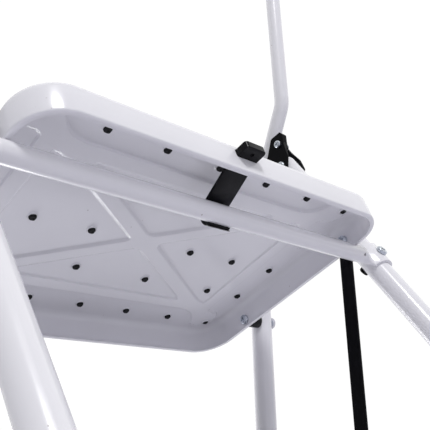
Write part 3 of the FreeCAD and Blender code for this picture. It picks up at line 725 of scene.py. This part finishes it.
grip_bore_r = 9.6
bore_bevel = 0.6
grip_end_r = 3.0              # the rounded ends
grip_plain = 6.0              # the length at each end without rings
grip_sides = 48
ring_step = 1.5               # between points along the rings
ring_steps = 6                # points per ring
ring_depth = 0.22             # half the depth of a ring


def foam_grip(inner_r):
    """A foam sleeve with soft rings and rounded ends."""
    low, high = box_mm("handrail_grip")
    middle = (low + high) / 2
    radius = (high[2] - low[2]) / 2
    length = high[0] - low[0]
    ringed = length - 2 * grip_plain
    end_in = radius - grip_end_r
    profile = [(inner_r, bore_bevel), (inner_r + bore_bevel, 0.0)]
    profile += [(end_in + out, grip_end_r - back) for out, back in arc((0, 0), grip_end_r, 90, 0, 5)]
    count = int(ringed / ring_step)
    profile += [(radius - ring_depth * (1 - math.cos(2 * math.pi * k / ring_steps)),
                 grip_plain + ringed * k / count) for k in range(count + 1)]
    profile += [(end_in + out, length - grip_end_r + back)
                for out, back in arc((0, 0), grip_end_r, 0, 90, 5)]
    profile += [(inner_r + bore_bevel, length), (inner_r, length - bore_bevel)]
    points, faces = revolve(profile, (low[0], middle[1], middle[2]), (1, 0, 0), grip_sides)
    faces += bridge(range(len(points) - grip_sides, len(points)), range(grip_sides))
    return points, faces


pressed_pan("platform", step_corner_r, step_corner_r, platform_pitch)
ribbed_mat("platform", step_corner_r, step_corner_r)
for step in ("middle_step", "bottom_step"):
    pressed_pan(step, step_corner_r, lower_rear_corner_r, step_pitch)
    ribbed_mat(step, step_corner_r, lower_rear_corner_r)

hook_thickness = 3.2
hook_outer = 12.5             # outside radius of the hook, about the crossbar
hook_nose = 60.0              # how far round the bar the hook goes below level, in degrees
strap_slope = 20.0            # in degrees
strap_bevel = 0.6
bar_y = hook_low[1] + hook_outer
bar_z = hook_low[2] + hook_outer * math.sin(math.radians(hook_nose))
strap_outline = strap_section(bar_y, bar_z, hook_outer - hook_thickness, hook_thickness,
                              strap_slope, hook_nose)
strap = prism(strap_outline, hook_low[0], hook_high[0], strap_bevel)

tab_y = pan_rear - button_in
tab_thickness = 3.0
tab_depth = 2.0               # how far the tab goes into the button
tab = upright(tab_y, tab_y + tab_thickness, button_top - tab_depth, hook_high[2])
button = make_object("push_button", *button_form(), latch_crease)
dimple = [(0, -1), (1.9, -1), (1.9, 1.4), (1.5, 1.8), (0, 1.9)]
dimple_y = pan_rear + 6.0
cut_away(button, *revolve(dimple, (0, dimple_y, button_under), (0, 0, 1), 32))
set_up(button, "latch", node_slots["latch_hook"], "latch_hook")
latch_strap = make_object("latch_strap", *merged([strap, tab]), latch_crease)
set_up(latch_strap, "latch", node_slots["latch_hook"])

spring_low, spring_high = box_mm("latch_spring")
spring_middle = (spring_low + spring_high) / 2
spring_r = (spring_high[2] - spring_low[2]) / 2
spring_turns = 6
wire_r = 0.5
spring_form = coil(spring_middle[0], spring_middle[2], spring_low[1], spring_high[1], spring_turns,
                   spring_r - wire_r, wire_r)
spring = make_object("return_spring", *spring_form, round_crease)
set_up(spring, "platform", "zinc_steel", "latch_spring")
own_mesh(spring)

seat_y = spring_low[1]
seat_thickness = 2.0
seat_low = mat_top - 16
seat_high = mat_top - mat_thickness - 0.4
seat = upright(seat_y - seat_thickness, seat_y, seat_low, seat_high)
set_up(make_object("spring_seat", *seat), "platform", "white_powder_coat")

grip = make_object("foam_grip", *foam_grip(grip_bore_r), round_crease)
set_up(grip, "front_frame", node_slots["handrail_grip"], "handrail_grip")


# CAD nodes: their finishes, and softer edges on the small parts that stay in view -
softened = ("bracket", "link_bar", "foot", "crossbar", "brace", "collar", "screws", "nuts", "bolts",
            "spacers")
soft_edge = 0.3
soft_edge_limit = 35.0        # degrees
join_distance = 0.002


def soften(piece):
    """Rounds a node's sharp edges."""
    piece.modifiers.new("join", "WELD").merge_threshold = join_distance * MM
    bevel = piece.modifiers.new("soft edges", "BEVEL")
    bevel.width = soft_edge * MM
    bevel.segments = 2
    bevel.limit_method = "ANGLE"
    bevel.angle_limit = math.radians(soft_edge_limit)
    bevel.harden_normals = False


for node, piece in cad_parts.items():
    piece.data.materials[0] = finishes[node_slots[node]]
    if any(word in node for word in softened):
        soften(piece)


# Floor, light and camera, in metres ----------------------------------------------
def studio_world(bright_way, low, high):
    """A white surround, brightest towards one side."""
    world = bpy.data.worlds.new("studio")
    world.use_nodes = True
    tree = world.node_tree
    way = tree.nodes.new("ShaderNodeTexCoord").outputs["Generated"]
    dot = add_node(tree, "ShaderNodeVectorMath", operation="DOT_PRODUCT")
    tree.links.new(way, dot.inputs[0])
    dot.inputs[1].default_value = Vector(bright_way).normalized()
    strength = remap(tree, dot.outputs["Value"], -0.2, 0.75, low, high)
    background = tree.nodes["Background"]
    background.inputs["Color"].default_value = (1.0, 1.0, 1.0, 1.0)
    tree.links.new(strength, background.inputs["Strength"])
    bpy.context.scene.world = world


def area_light(name, place, target, size, power):
    """A round white lamp that faces its target."""
    light = bpy.data.lights.new(name, "AREA")
    light.shape = "DISK"
    light.size = size
    light.energy = power
    lamp = bpy.data.objects.new(name, light)
    lamp.location = place
    lamp.rotation_euler = (Vector(target) - Vector(place)).to_track_quat("-Z", "Y").to_euler()
    bpy.context.scene.collection.objects.link(lamp)


def studio_floor(size):
    """A square floor with a faint mottle."""
    mesh = bpy.data.meshes.new("floor")
    half = size / 2
    corners = [(-half, -half, 0), (half, -half, 0), (half, half, 0), (-half, half, 0)]
    mesh.from_pydata(corners, [], [(0, 1, 2, 3)])
    floor = bpy.data.objects.new("floor", mesh)
    bpy.context.scene.collection.objects.link(floor)
    material, tree, shader, place = start_finish("floor", Roughness=0.6)
    mottle = remap(tree, noise(tree, place, 3.0), 0.3, 0.7, 0.0, 1.0)
    colour = blend_colour(tree, mottle, (0.64, 0.635, 0.70), (0.60, 0.595, 0.66))
    tree.links.new(colour, shader.inputs["Base Color"])
    mesh.materials.append(material)


camera_place = Vector((0.3980, 0.4416, 0.3307))
camera_axes = ((-0.7228, 0.6323, -0.2789), (0.2051, 0.5816, 0.7872), (0.66, 0.5118, -0.55))
camera_lens = 58.02           # mm, on a sensor 36 mm wide


def make_camera():
    """A camera low down behind the ladder, looking up at the platform's underside."""
    camera = bpy.data.objects.new("camera", bpy.data.cameras.new("camera"))
    camera.data.lens = camera_lens
    camera.data.sensor_width = 36.0
    camera.data.clip_start = 0.01
    turn = Matrix(camera_axes).transposed()
    camera.matrix_world = Matrix.Translation(camera_place) @ turn.to_4x4()
    bpy.context.scene.collection.objects.link(camera)
    bpy.context.scene.camera = camera


bpy.context.scene.view_settings.view_transform = "Standard"
studio_world((-0.66, -0.51, 0.55), 0.40, 1.03)
studio_floor(12.0)
area_light("key", (0.9, 2.4, 2.4), (0.0, 0.1, 0.7), 0.8, 44.0)
area_light("low", (-0.2, -1.5, 0.5), (0.0, 0.0, 0.70), 1.1, 15.0)
make_camera()
